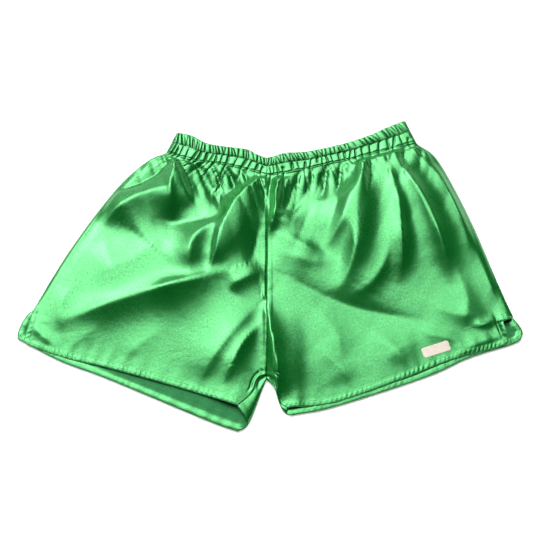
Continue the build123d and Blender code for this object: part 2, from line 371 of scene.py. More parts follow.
def drape():
    """Both halves of the front as one cloth that settles on the layer below it: {side: grid of points}."""
    u, v = np.linspace(0, 1, SIM_COLUMNS), np.linspace(0, 1, SIM_ROWS)
    start, rest, pin = {}, {}, {}
    for side in (LEFT, RIGHT):
        plan = body_plan("front", side, u, v)
        z = front_start(side, plan)
        start[side] = np.concatenate([plan, z[..., None]], -1)
        down = np.linalg.norm(plan - plan[:1], axis=-1)
        fuller = 1 + SLACK + WAIST_SLACK * np.exp(-((down / 60) ** 1.3))
        rest[side] = start[side] * np.stack([fuller, 1 + SLACK + 0 * z, 1 + SLACK + 0 * z], -1)
        hold = np.full(z.shape, HOLD)
        hold[0] = 1
        hold[v < OUTER_SHARE + 0.02, -1] = 1
        hold[-1, 0] = 1
        hold[-1, -1] = 1
        pin[side] = hold
    n = SIM_COLUMNS * SIM_ROWS
    points = np.concatenate([start[LEFT].reshape(-1, 3), start[RIGHT].reshape(-1, 3)])
    flat = np.concatenate([rest[LEFT].reshape(-1, 3), rest[RIGHT].reshape(-1, 3)])
    weight = np.concatenate([pin[LEFT].ravel(), pin[RIGHT].ravel()])
    faces = np.array(
        grid_faces(SIM_ROWS, SIM_COLUMNS, 0, False) + grid_faces(SIM_ROWS, SIM_COLUMNS, n, True)
    )
    # the seam column is shared down to the crotch
    shared = np.arange(2 * n)
    seam_rows = np.arange(int(INNER_SHARE * (SIM_ROWS - 1)) + 1)
    shared[n + seam_rows * SIM_COLUMNS] = seam_rows * SIM_COLUMNS
    keep = np.unique(shared)
    index = np.full(2 * n, -1)
    index[keep] = np.arange(len(keep))
    cloth = new_mesh("drape", points[keep], index[shared[faces]].tolist())
    cloth.shape_key_add(name="Basis")
    key = cloth.shape_key_add(name="rest")
    key.data.foreach_set("co", (flat[keep] * MM).astype(np.float32).ravel())
    key.value = 0.0
    group = cloth.vertex_groups.new(name="pin")
    for i, k in enumerate(keep):
        group.add([i], float(weight[k]), "REPLACE")
    corners = [(-600, -500, 1.0), (600, -500, 1.0), (600, 500, 1.0), (-600, 500, 1.0)]
    floor = new_mesh("drape_floor", corners, [(0, 1, 2, 3)])
    floor.modifiers.new("collide", "COLLISION")
    floor.collision.thickness_outer = 0.001
    floor.collision.cloth_friction = 20
    mod = cloth.modifiers.new("cloth", "CLOTH")
    settings = {
        "quality": 6,
        "mass": 0.06,
        "tension_stiffness": 25,
        "compression_stiffness": 25,
        "shear_stiffness": 10,
        "bending_stiffness": BENDING,
        "tension_damping": 10,
        "compression_damping": 10,
        "shear_damping": 10,
        "air_damping": 3,
        "vertex_group_mass": "pin",
        "pin_stiffness": 1,
        "rest_shape_key": key,
    }
    for name, value in settings.items():
        setattr(mod.settings, name, value)
    mod.collision_settings.distance_min = 0.0012
    mod.collision_settings.collision_quality = 2
    mod.point_cache.frame_end = SIM_FRAMES
    scene = bpy.context.scene
    for f in range(1, SIM_FRAMES + 1):
        scene.frame_set(f)
    done = cloth.evaluated_get(bpy.context.evaluated_depsgraph_get()).data
    co = np.zeros(len(keep) * 3, np.float32)
    done.vertices.foreach_get("co", co)
    co = co.reshape(-1, 3) / MM
    scene.frame_set(1)
    full = co[index[shared]]
    bpy.data.objects.remove(cloth)
    bpy.data.objects.remove(floor)
    shape = (SIM_ROWS, SIM_COLUMNS, 3)
    return {LEFT: full[:n].reshape(shape), RIGHT: full[n:].reshape(shape)}


# ---------------------------------------------------------------- gathered waistband
def pleat_lines(side, upper):
    """Grooves between the pleats of one channel, one row each.

    A row holds the distance from the seam, the depth share, the slant, and where down the channel the groove
    is deepest and how far it reaches from there.
    """
    rng = np.random.default_rng(15 + side + 10 * upper)
    at, lines = -6.0, []
    while at < 230:
        depth = rng.uniform(0.45, 1.0)
        middle, reach = 0.55, 0.75
        if rng.random() >= 0.6:
            middle, reach = rng.uniform(0.1, 0.9), rng.uniform(0.35, 0.7)
        if side == LEFT:
            slant = 0.2 * smooth(5, 45, at) + 0.25 * smooth(90, 170, at) if upper else 0.05
        else:
            slant = -0.1 * at / 130 if upper else 0.3
        lines.append((at, depth, slant + rng.normal(0, 0.13), middle, reach))
        spacing = (4.9 if side == RIGHT else 4.5 + 0.010 * max(at, 0)) * (1 if upper else 1.6)
        at += spacing * rng.choice((0.65, 0.85, 1.1, 1.6), p=(0.25, 0.3, 0.25, 0.2)) * rng.uniform(0.85, 1.15)
    return np.array(lines)


def pleats(arc, down, lines, start, height, roundness, lean=0.0):
    """Shares 0 to 1 of the pleat height in a strip, 1 on the pleats, and of the painted shade in the groove
    between them.

    A positive lean pushes the tops of the pleats away from the seam, a negative one towards it.
    """
    out, groove = np.zeros(arc.shape), np.zeros(arc.shape)
    for r in range(arc.shape[0]):
        share = (down[r, 0] - start) / height
        at = lines[:, 0] + lines[:, 2] * (share - 0.5) * height
        at = np.maximum.accumulate(at + np.arange(len(at)) * 1e-6)
        live = lines[:, 1] * np.exp(-(((share - lines[:, 3]) / lines[:, 4]) ** 4))
        i = np.clip(np.searchsorted(at, arc[r]), 1, len(at) - 1)
        gap = np.maximum(at[i] - at[i - 1], 0.5)
        t = np.clip((arc[r] - at[i - 1]) / gap, 0, 1)
        near = smooth(0, 0.5, abs(t - 0.5))
        depth = np.where(t < 0.5, live[i - 1], live[i]) * near + 0.5 * (live[i - 1] + live[i]) * (1 - near)
        # painted shade: how dark the groove between two pleats is painted
        groove[r] = np.minimum(1.5 * depth, 1) * bell(gap * np.minimum(t, 1 - t), 0, 0.85)
        t = t ** (1 + lean) if lean > 0 else 1 - (1 - t) ** (1 - lean)
        dome = (4 * t * (1 - t)) ** roundness
        out[r] = 1 - depth * (1 - dome) * np.clip(gap / 6, 0.5, 1)
    return out, groove


CASING = {
    # height of the elastic above the table, outward direction, pleat heights outside and inside
    "front": (6.3, 1, 4.2, 1.1),
    "back": (2.5, -1, 1.2, 0.6),
}
BAND_MIDDLE = 4.4
PLY_GAP = 0.7
PINCH_ROWS = (CHANNEL, BAND - 1.2)
FOLD_RADIUS = 2.2


def band_rows(layer, side, u):
    """The casing from its inner lower edge, over the top fold, to its outer lower edge."""
    height, out, outside, inside = CASING[layer]
    lines = [pleat_lines(side, True), pleat_lines(side, False)]
    inner_d = np.linspace(BAND - 0.6, FOLD_RADIUS, 10)
    fold_angle = np.linspace(-90, 90, 9)[1:-1]
    outer_d = np.linspace(FOLD_RADIUS, BAND, 38)
    rows = []
    for d in inner_d:
        rows.append((d, -1.0, 0.0))
    for a in np.radians(fold_angle):
        rows.append((FOLD_RADIUS * (1 - math.cos(a)), math.sin(a), math.cos(a)))
    for d in outer_d:
        rows.append((d, 1.0, 0.0))
    points, groove_shade = [], []
    for d, face, edge in rows:
        line = spline(waist_line(side, d), u)
        arc = run_length(line)
        end = arc[-1] - arc
        down = np.full((1, len(u)), d)
        which = 0 if d < CHANNEL else 1
        start, height_of = (0, CHANNEL) if which == 0 else (CHANNEL, BAND - CHANNEL)
        roundness, lean = ((0.24, 0.4 * side), (0.42, 0.9 * side))[which]
        dome, groove = pleats(arc[None], down, lines[which], start, height_of, roundness, lean)
        dome, groove = dome[0], groove[0]
        # painted shade of the groove between pleats, on the outer face only, fainter near the top fold and in
        # the lower channel
        groove_shade.append(groove * (face > 0) * (0.2 + 0.8 * smooth(0.5, 3, d)) * (1 if which == 0 else 0.6))
        drift = 0.5 * np.sin(arc / 9 + side) + 0.35 * np.sin(arc / 3.7)
        pinch = 1 - sum(s * bell(d - drift, p, 1.3) for p, s in zip(PINCH_ROWS, (0.1, 0.35)))
        puff = 0.75 + 0.25 * math.sin(math.pi * min(d, CHANNEL) / CHANNEL)
        tall = outside if face > 0 else inside
        half = PLY_GAP * (0.4 + 0.6 * pinch) + tall * dome * pinch * puff
        z = height + out * half * face
        z = BAND_MIDDLE + (z - BAND_MIDDLE) * rounded(end + 0.01 - (0 if face > 0 else 1.2), 7)
        y = line[:, 1] - edge * 1.5 * (1 - dome)
        points.append(np.stack([line[:, 0], y, z], 1))
    return np.array(points), lines[1], np.array(groove_shade)


# ---------------------------------------------------------------- panels
def cubic_weights(t, n):
    """Matrix that samples n evenly spaced values at the fractions t with Catmull-Rom curves."""
    at = np.clip(np.asarray(t), 0, 1) * (n - 1)
    i = np.clip(np.floor(at).astype(int), 0, n - 2)
    f = at - i
    weights = np.zeros((len(at), n))
    parts = (
        -0.5 * f + f**2 - 0.5 * f**3,
        1 - 2.5 * f**2 + 1.5 * f**3,
        0.5 * f + 2 * f**2 - 1.5 * f**3,
        -0.5 * f**2 + 0.5 * f**3,
    )
    for k, part in enumerate(parts):
        np.add.at(weights, (np.arange(len(at)), np.clip(i + k - 1, 0, n - 1)), part)
    return weights


def resample(grid, u, v):
    """A finer grid of points through a coarse one."""
    rows, columns = cubic_weights(v, grid.shape[0]), cubic_weights(u, grid.shape[1])
    return np.einsum("ri,ijk,cj->rck", rows, grid, columns)


def body_fractions(count):
    """Fractions down the body, closer together near the band and near the hem."""
    t = np.linspace(0, 1, count)
    step = 0.35 + np.sin(np.pi * t) ** 0.8
    v = np.concatenate([[0], np.cumsum((step[1:] + step[:-1]) / 2)])
    return v / v[-1]


def hem_path(layer, side):
    """Plan points along the side vent and the hem, from the top of the vent to the inner leg."""
    vent = spline([SIDE[side][-1]] + VENT[layer][side] + [HEM_LINE[layer][side][0]], np.linspace(0, 1, 40))
    bottom = spline(HEM_LINE[layer][side], np.linspace(0, 1, 160))
    return np.vstack([vent[:-1], bottom])


def wobble(s, spacing, seed):
    """A wave with an uneven spacing, between -1 and 1."""
    rng = np.random.default_rng(seed)
    a, b, c = rng.uniform(0, 6.28, 3)
    phase = s / spacing + 0.45 * np.sin(s / (spacing * 3.1) + a) + 0.2 * np.sin(s / (spacing * 1.3) + b)
    return np.sin(2 * np.pi * phase + c) * (0.7 + 0.3 * np.sin(s / (spacing * 2.3) + c))


HEM_STITCH = 7.2


def hem_relief(distance, along, seed):
    """Height of the turned hem, its stitched groove and its puckers above the plain cloth."""
    turned = 0.5 * smooth(0, 1.2, distance) * smooth(8.6, 7.4, distance)
    groove = -0.5 * bell(distance, HEM_STITCH, 0.9)
    slanted = along + 0.6 * distance
    pucker = 0.42 * wobble(slanted, 6.2, seed) * bell(distance, 4.2, 2.8)
    tension = 0.3 * wobble(along, 19, seed + 1) * bell(distance, 7, 15)
    return turned + groove + pucker + tension


def seam_relief(x, y, seed):
    """Height of the rise seam: a groove, with the pressed seam allowance beside it and light puckers."""
    groove = -1.1 * bell(x, 0, 1.3)
    allowance = 0.35 * smooth(0.5, 2, x) * smooth(8, 6, x)
    pucker = 0.28 * wobble(y, 11, seed) * bell(x, 0, 7)
    return groove + allowance + pucker


def leg_path(side):
    """Plan points of the front's edge around the inner leg, from the crotch to the hem."""
    points = [CROTCH["front"]] + INNER_LEG["front"][side] + [HEM_LINE["front"][side][-1]]
    return spline(points, np.linspace(0, 1, 30))


def leg_relief(distance, along, seed):
    """Height of the rolled inseam at the crotch, with puckers running away from it."""
    fade = smooth(38, 22, along)
    roll = 1.3 * bell(distance, 1.8, 1.9) - 1.1 * bell(distance, 5.2, 1.2)
    pucker = 0.7 * wobble(along, 6.5, seed) * bell(distance, 6, 6)
    return (roll + pucker) * fade


def vent_arch(side, x, y):
    """Height of the front where it stands up in an arch over the open side vent."""
    if side == RIGHT:
        return 0 * x
    lift = 3.4 * bell(x, 304, 9) * bell(y, -82, 12)
    crease = -1.6 * bell(x + 0.25 * (y + 84), 293, 2.4) * bell(y, -86, 14)
    return lift + crease


SOFT_TOP = 19.0
FRONT_COLUMNS, FRONT_ROWS = 280, 122
BACK_COLUMNS, BACK_ROWS = 150, 96


def front_body(side, settled, u, v, lines):
    """Points of the front below the casing: the settled cloth with its casing edge, hem, seams and vent."""
    points = resample(settled[side], u, v)
    x, y = points[..., 0], points[..., 1]
    arc = run_length(points[0, :, :2])
    down = np.linalg.norm(points[..., :2] - points[:1, :, :2], axis=-1)
    inside = np.clip(side_reach(side, y) - np.abs(x), 0, None)
    # below the casing the pleats go on, ever rounder, into the gathers of the body
    sway = arc[None] + 0.14 * down * np.sin(arc[None] / 23)
    bottom = np.full(down.shape, BAND)
    soft = pleats(sway, bottom, lines, CHANNEL, BAND - CHANNEL, 0.5)[0] * np.exp(-((down / 7) ** 1.5))
    softer = pleats(sway, bottom, lines, CHANNEL, BAND - CHANNEL, 1.0)[0] * np.exp(-((down / 20) ** 1.4))
    height, _, outside, _ = CASING["front"]
    casing_edge = height + PLY_GAP * 0.7 + 0.45 * outside * soft
    casing_edge = BAND_MIDDLE + (casing_edge - BAND_MIDDLE) * rounded(arc[-1] - arc[None] + 0.01, 7)
    free = points[..., 2] + 1.9 * (softer - 0.4 * np.exp(-((down / 20) ** 1.4))) * smooth(0, 10, inside)
    share = smooth(0, 13, down)
    z = casing_edge * (1 - share) + free * share
    z = z + (BAND_MIDDLE - EDGE_HEIGHT) * (1 - smooth(0, 30, down)) * share * (1 - rounded(inside, 10))
    distance, along = from_path(x, y, hem_path("front", side))
    z = z + hem_relief(distance, along, 31 + side)
    z = z + seam_relief(x, y, 5) * smooth(0, 4, down) * (y > CROTCH["front"][1] - 4)
    z = z + leg_relief(*from_path(x, y, leg_path(side)), 51 + side)
    z = z + vent_arch(side, x, y)
    top = SOFT_TOP + 5 * smooth(40, 100, np.abs(x))
    over = np.clip(z - top, 0, None)
    z = z - over + over / (1 + over / (32 - top))
    return np.concatenate([points[..., :2], z[..., None]], -1)


def back_body(side, u, v, lines):
    """Points of the back below the casing, lying almost flat on the table."""
    plan = body_plan("back", side, u, v)
    x, y = plan[..., 0], plan[..., 1]
    arc = run_length(plan[0])
    down = np.linalg.norm(plan - plan[:1], axis=-1)
    inside = np.clip(side_reach(side, y) - np.abs(x), 0, None)
    height, _, outside, _ = CASING["back"]
    soft = pleats(arc[None] + 0 * down, 0 * down + BAND, lines, CHANNEL, BAND - CHANNEL, 0.8)[0]
    casing_edge = height - PLY_GAP * 0.7 - 0.45 * outside * soft
    casing_edge = BAND_MIDDLE + (casing_edge - BAND_MIDDLE) * rounded(arc[-1] - arc[None] + 0.01, 7)
    ripple = 0.35 * np.exp(-((down / 40) ** 1.5)) * (1 - soft)
    waves = 0.35 * (1 + wobble(x * 0.8 + y * 0.5, 47, 8) * wobble(y - 0.3 * x, 61, 9))
    flat = 0.3 + ripple + waves * smooth(0, 20, inside)
    side_lift = EDGE_HEIGHT - (EDGE_HEIGHT - flat) * rounded(inside + 0.01, 6)
    above_vent = (v < OUTER_SHARE)[:, None]
    flat = np.where(above_vent, side_lift, flat + 0.8 * bell(inside, 0, 9))
    share = smooth(0, 12, down)
    z = casing_edge * (1 - share) + flat * share
    distance, along = from_path(x, y, hem_path("back", side))
    z = z + np.maximum(hem_relief(distance, along, 41 + side), -0.2) + 0.15
    return np.concatenate([plan, np.maximum(z, 0.1)[..., None]], -1)


def thicken(obj, thickness, offset):
    """Gives a piece of cloth its thickness, in millimetres."""
    solid = obj.modifiers.new("thickness", "SOLIDIFY")
    solid.thickness = thickness * MM
    solid.offset = offset
    return solid


def dress(obj, name, slot_name, *materials):
    """Smooth shading and materials of a piece that takes the place of the CAD node of that name, which is
    hidden. The slot name is not used.
    """
    obj.data.polygons.foreach_set("use_smooth", np.ones(len(obj.data.polygons), bool))
    for material in materials:
        obj.data.materials.append(material)
    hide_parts(name)


def weave_coordinates(obj, across, along):
    """A UV map in metres of cloth, so that the weave stays with the cloth when it bends."""
    layer = obj.data.uv_layers.new(name="weave")
    loops = np.zeros(len(obj.data.loops), np.int64)
    obj.data.loops.foreach_get("vertex_index", loops)
    uv = np.stack([across.ravel()[loops], along.ravel()[loops]], 1) * MM
    layer.data.foreach_set("uv", uv.astype(np.float32).ravel())


CLOTH = 0.45
HEM_PLIES = 1.3


def cross_fold(obj):
    """Bakes a piece's placement into its mesh; the piece is not bent."""
    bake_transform(obj)


def spline_rows(column, v, at):
    """Points of a column of a panel at the fractions at down the body."""
    return np.stack([np.interp(at, v, column[:, k]) for k in range(3)], 1)


WRAP_ROWS, WRAP_COLUMNS = 30, 16
WRAP_END = 0.8


def inner_leg(side, back, front, v_back, v_front):
    """The back cloth where it wraps over the inner fold of the leg, up to the inseam.

    It ends in a slanted mouth: the front runs on to its hem, and the back's edge beyond WRAP_END is free.
    """
    s = np.linspace(0, 1, WRAP_ROWS)
    end = WRAP_END if side == RIGHT else 0.9
    back_column = spline_rows(back[:, 0], v_back, INNER_SHARE + (1 - INNER_SHARE) * s * end)
    front_column = spline_rows(front[:, 0], v_front, INNER_SHARE + (1 - INNER_SHARE) * s)
    w = np.linspace(0, 1, WRAP_COLUMNS)[None, :, None]
    grid = back_column[:, None] * (1 - w) + front_column[:, None] * w
    w, s = w[..., 0], s[:, None]
    rise = np.sin(np.pi / 2 * w) ** 0.4
    pocket = bell(w, 0.75, 0.28) * bell(s, 0.2, 0.16)
    swell = np.sin(np.pi * w) * bell(s, 0.65, 0.3)
    top = front_column[:, None, 2] - 0.6 - 0.5 * (front_column[:, None, 2] - 0.6) * pocket + 0.9 * swell
    grid[..., 2] = back_column[:, None, 2] * (1 - rise) + top * rise
    grid[..., 0] -= side * 1.6 * np.sin(np.pi * w) * (1 - w)
    return grid


def panel(layer, side, settled, cloth, inseam=None):
    """One cloth panel with its casing, its turned hem and its thickness."""
    front = layer == "front"
    u = np.linspace(0, 1, FRONT_COLUMNS if front else BACK_COLUMNS)
    v = body_fractions(FRONT_ROWS if front else BACK_ROWS)
    band, lines, groove_shade = band_rows(layer, side, u)
    body = front_body(side, settled, u, v, lines) if front else back_body(side, u, v, lines)
    grid = np.concatenate([band, body[1:]])
    above_crotch = grid[..., 1] > CROTCH[layer][1]
    grid[..., 0] = np.where((grid[..., 0] * side < 0) & above_crotch, 0, grid[..., 0])
    rows, columns = grid.shape[:2]
    upward = front == (side == RIGHT)
    name = f"{layer}_panel_{SIDE_NAME[side]}"
    along = run_length(grid[:, columns // 2])
    fullness = 1.4 - 0.4 * smooth(40, 160, along - along[len(band)])
    across = np.linalg.norm(np.diff(grid[..., :2], axis=1, prepend=grid[:, :1, :2]), axis=-1).cumsum(1)
    across = across * fullness[:, None] * side
    along = along[:, None] + 0 * across
    distance, _ = from_path(grid[..., 0], grid[..., 1], hem_path(layer, side))
    body_row = np.arange(rows)[:, None] > len(band)
    hemmed = smooth(8.6, 7.6, distance) * body_row
    wear = smooth(2.4, 0.3, distance) * body_row
    points, faces = grid.reshape(-1, 3), grid_faces(rows, columns, 0, upward)
    # painted shade of the hollows between the casing's pleats, none below the casing
    groove_shade = np.concatenate([groove_shade, np.zeros((rows - len(groove_shade), columns))])
    values = [across.ravel(), along.ravel(), hemmed.ravel(), wear.ravel(), groove_shade.ravel()]
    if inseam is not None:
        wrap = inner_leg(side, body, inseam[0], v, inseam[1])
        shape = wrap.shape[:2]
        faces = faces + grid_faces(*shape, len(points), not upward)
        points = np.concatenate([points, wrap.reshape(-1, 3)])
        hem_here = np.repeat(smooth(0.82, 0.84, np.linspace(0, 1, shape[0]))[:, None], shape[1], 1)
        values[0] = np.concatenate([values[0], wrap[..., 0].ravel()])
        values[1] = np.concatenate([values[1], -wrap[..., 1].ravel()])
        values[2] = np.concatenate([values[2], hem_here.ravel()])
        values[3] = np.concatenate([values[3], 0 * hem_here.ravel()])
        values[4] = np.concatenate([values[4], 0 * hem_here.ravel()])
    obj = new_mesh(name, points, faces)
    weave_coordinates(obj, values[0], values[1])
    # the groove attribute carries that painted shade to the material
    for label, value in zip(("hem", "wear", "groove"), values[2:]):
        obj.data.attributes.new(label, "FLOAT", "POINT").data.foreach_set("value", value.astype(np.float32))
    group = obj.vertex_groups.new(name="thickness")
    for i, share in enumerate(values[2]):
        group.add([i], float((CLOTH + (HEM_PLIES - CLOTH) * share) / HEM_PLIES), "REPLACE")
    solid = thicken(obj, HEM_PLIES, -1)
    solid.vertex_group = "thickness"
    solid.material_offset = 1
    dress(obj, name, "satin", *cloth)
    cross_fold(obj)
    return obj, body, v


# ---------------------------------------------------------------- small pieces that lie on the panels
def surface(obj):
    """What rays can hit of a panel, in millimetres."""
    mesh = obj.data
    co = np.zeros(len(mesh.vertices) * 3, np.float32)
    mesh.vertices.foreach_get("co", co)
    verts = [Vector(p) for p in (co.reshape(-1, 3) / MM).tolist()]
    return BVHTree.FromPolygons(verts, [p.vertices[:] for p in mesh.polygons])


def drop(tree, xy, from_above=True):
    """Points and normals where vertical rays through plan points meet a panel. Misses take the last hit."""
    start, way = (80, -1) if from_above else (-80, 1)
    points, normals = [], []
    last = (None, None)
    for x, y in xy:
        hit, normal, _, _ = tree.ray_cast(Vector((x, y, start)), Vector((0, 0, way)))
        if hit is None:
            if last[0] is None:
                continue
            hit, normal = Vector((x, y, last[0].z)), last[1]
        if normal.z * way > 0:
            normal = -normal
        last = (hit, normal)
        points.append(hit)
        normals.append(normal)
    return np.array(points, float), np.array(normals, float)


STITCH, STITCH_GAP, THREAD_RADIUS = 2.5, 0.55, 0.27
STITCH_RINGS, THREAD_SIDES = 5, 6


def stitches(name, tree, xy, from_above, material):
    """A row of lock stitches along a plan line on a panel, as one piece."""
    xy = np.asarray(xy, float)
    arc = run_length(xy)
    rng = np.random.default_rng(len(name))
    starts = np.arange(0.6, arc[-1] - STITCH - 0.6, STITCH + STITCH_GAP)
    starts = starts + rng.uniform(-0.12, 0.12, len(starts))
    share = np.linspace(0, 1, STITCH_RINGS)
    sample = starts[:, None] + share[None] * STITCH
    plan = np.stack([np.interp(sample.ravel(), arc, xy[:, k]) for k in range(2)], 1)
    points, normals = (a.reshape(len(starts), STITCH_RINGS, 3) for a in drop(tree, plan, from_above))
    straight = points[:, :1] * (1 - share[None, :, None]) + points[:, -1:] * share[None, :, None]
    points = 0.5 * (points + straight)
    lift = THREAD_RADIUS * (0.1 + 0.75 * np.sin(np.pi * share))
    size = THREAD_RADIUS * np.array([0.35, 0.95, 1.05, 0.95, 0.35])
    along = points[:, -1] - points[:, 0]
    along = along / np.linalg.norm(along, axis=1)[:, None]
    across = np.cross(along[:, None], normals)
    verts, faces = [], []
    for k in range(len(starts)):
        first = len(verts)
        for j in range(STITCH_RINGS):
            centre = points[k, j] + normals[k, j] * lift[j]
            for angle in 2 * np.pi * np.arange(THREAD_SIDES) / THREAD_SIDES:
                out = across[k, j] * math.cos(angle) + normals[k, j] * math.sin(angle)
                verts.append(centre + size[j] * out)
        for j in range(STITCH_RINGS - 1):
            p = first + j * THREAD_SIDES
            for a in range(THREAD_SIDES):
                q = (a + 1) % THREAD_SIDES
                faces.append((p + a, p + q, p + THREAD_SIDES + q, p + THREAD_SIDES + a))
        last = first + (STITCH_RINGS - 1) * THREAD_SIDES
        faces.append(tuple(first + a for a in reversed(range(THREAD_SIDES))))
        faces.append(tuple(last + a for a in range(THREAD_SIDES)))
    obj = new_mesh(name, np.array(verts), faces)
    dress(obj, name, "thread", material)
    cross_fold(obj)


def directions(path):
    """Unit vectors along a path of plan points."""
    step = np.gradient(path, axis=0)
    return step / np.linalg.norm(step, axis=1)[:, None]


def inset_path(path, side, distance):
    """A hem path moved into the panel."""
    step = directions(path)
    return path + np.stack([step[:, 1], -step[:, 0]], 1) * side * distance


OVERLOCK_WIDTH, OVERLOCK_LOOP = 5.0, 2.2


def strip(name, centre, tree, from_above, offset, material):
    """An overlocked seam allowance: a strip with looped edges, offset from a panel."""
    centre = np.asarray(centre, float)
    step = directions(centre)
    out = np.stack([-step[:, 1], step[:, 0]], 1)
    across = np.linspace(-0.5, 0.5, 7)
    turns = 2 * np.pi * run_length(centre) / OVERLOCK_LOOP
    loops = 1 + 0.05 * np.sin(turns)
    plan = centre[:, None] + out[:, None] * across[None, :, None] * OVERLOCK_WIDTH * loops[:, None, None]
    points, _ = drop(tree, plan.reshape(-1, 2), from_above)
    ridge = 0.14 * np.sin(turns)[:, None] * np.cos(np.pi * across)[None]
    points[:, 2] += offset + ridge.ravel()
    obj = new_mesh(name, points, grid_faces(len(centre), 7))
    thicken(obj, 0.5, 0)
    dress(obj, name, "seam_allowance", material)
    cross_fold(obj)


def elastic_loop(material):
    """The flat loop of ribbed elastic in the upper channel, front and back."""
    u = np.linspace(0, 1, 90)
    downs = np.linspace(2.6, 18.4, 9)
    ring = []
    for layer, side in (("front", RIGHT), ("front", LEFT), ("back", LEFT), ("back", RIGHT)):
        height = CASING[layer][0]
        columns = []
        for d in downs:
            line = spline(waist_line(side, d), u)
            arc = run_length(line)
            end = arc[-1] - arc
            step = line[-1] - line[-2]
            keep = line - 2.6 * step / np.linalg.norm(step) * smooth(12, 0, end)[:, None]
            z = BAND_MIDDLE + (height - BAND_MIDDLE) * rounded(end, 5)
            columns.append(np.concatenate([keep, z[:, None]], 1))
        outward = (layer == "front") == (side == LEFT)
        ring.append(np.stack(columns, 1)[:: 1 if outward else -1][:-1])
    loop = np.concatenate(ring)
    count, rows = loop.shape[:2]
    faces = []
    for i in range(count):
        k = (i + 1) % count
        for j in range(rows - 1):
            faces.append((i * rows + j, i * rows + j + 1, k * rows + j + 1, k * rows + j))
    obj = new_mesh("waist_elastic", loop.reshape(-1, 3), faces)
    thicken(obj, 0.8, 0)
    dress(obj, "waist_elastic", "elastic", material)
    cross_fold(obj)


PATCH_HALF, PATCH_CORNER, PATCH_TURN = (18.0, 6.5), 2.5, math.radians(18)


def patch(tree, material):
    """A plain printed patch above the left front hem."""
    low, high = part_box("printed_patch")
    centre = np.array([(low.x + high.x) / 2, (low.y + high.y) / 2]) / MM
    s, t = np.meshgrid(np.linspace(-1, 1, 41), np.linspace(-1, 1, 17))
    beyond = np.clip(abs(t) * PATCH_HALF[1] - (PATCH_HALF[1] - PATCH_CORNER), 0, PATCH_CORNER)
    reach = PATCH_HALF[0] - PATCH_CORNER + np.sqrt(PATCH_CORNER**2 - beyond**2)
    x, y = s * reach, t * PATCH_HALF[1]
    cos, sin = math.cos(PATCH_TURN), math.sin(PATCH_TURN)
    plan = np.stack([x * cos - y * sin, x * sin + y * cos], -1)
    points, normals = drop(tree, plan.reshape(-1, 2) + centre)
    obj = new_mesh("printed_patch", points + normals * 0.12, grid_faces(*s.shape, 0, True))
    weave_coordinates(obj, points[:, 0], points[:, 1])
    thicken(obj, 0.08, -1)
    dress(obj, "printed_patch", "print", material)
    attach(obj, "left_half")


# ---------------------------------------------------------------- shader nodes
def feed(tree, value, socket):
    """Sets a node's input to a plain value, or links another node's output to it."""
    if isinstance(value, bpy.types.NodeSocket):
        tree.links.new(value, socket)
    else:
        socket.default_value = value


def node(tree, kind, **values):
    """A node with the given inputs and settings."""
    made = tree.nodes.new("ShaderNode" + kind)
    for key, value in values.items():
        if key in made.inputs:
            feed(tree, value, made.inputs[key])
        else:
            setattr(made, key, value)
    return made


def blend_colours(tree, factor, first, second):
    mix = node(tree, "Mix", data_type="RGBA")
    for socket, value in zip((mix.inputs[0], mix.inputs[6], mix.inputs[7]), (factor, first, second)):
        feed(tree, value, socket)
    return mix.outputs[2]


def ranged(tree, value, low, high, start=0.0, end=1.0, **settings):
    """Maps start to end of a value onto low to high, and holds it there beyond them."""
    made = node(tree, "MapRange", Value=value, **settings)
    for key, limit in (("From Min", start), ("From Max", end), ("To Min", low), ("To Max", high)):
        made.inputs[key].default_value = limit
    return made.outputs[0]


def calculate(tree, operation, first, second=0.0):
    made = node(tree, "Math", operation=operation)
    for socket, value in zip(made.inputs, (first, second)):
        feed(tree, value, socket)
    return made.outputs[0]


def noise(tree, place, scale, detail, roughness=0.5):
    return node(tree, "TexNoise", Vector=place, Scale=scale, Detail=detail, Roughness=roughness).outputs[0]


def relief(tree, height, strength, distance, **below):
    """A bumpy normal, on top of the one below it where that is given as Normal."""
    return node(tree, "Bump", Strength=strength, Distance=distance, Height=height, **below).outputs[0]


def shader(name):
    """A new material, its nodes and its surface shader."""
    material = bpy.data.materials.new(name)
    material.use_nodes = True
    return material, material.node_tree, material.node_tree.nodes["Principled BSDF"]


def cover(tree, made, values):
    """Sets several inputs of a node by name."""
    for key, value in values.items():
        feed(tree, value, made.inputs[key])


# ---------------------------------------------------------------- materials
GRAIN = 0.34
SHEEN = (0.27, 1.0, 0.39, 1)


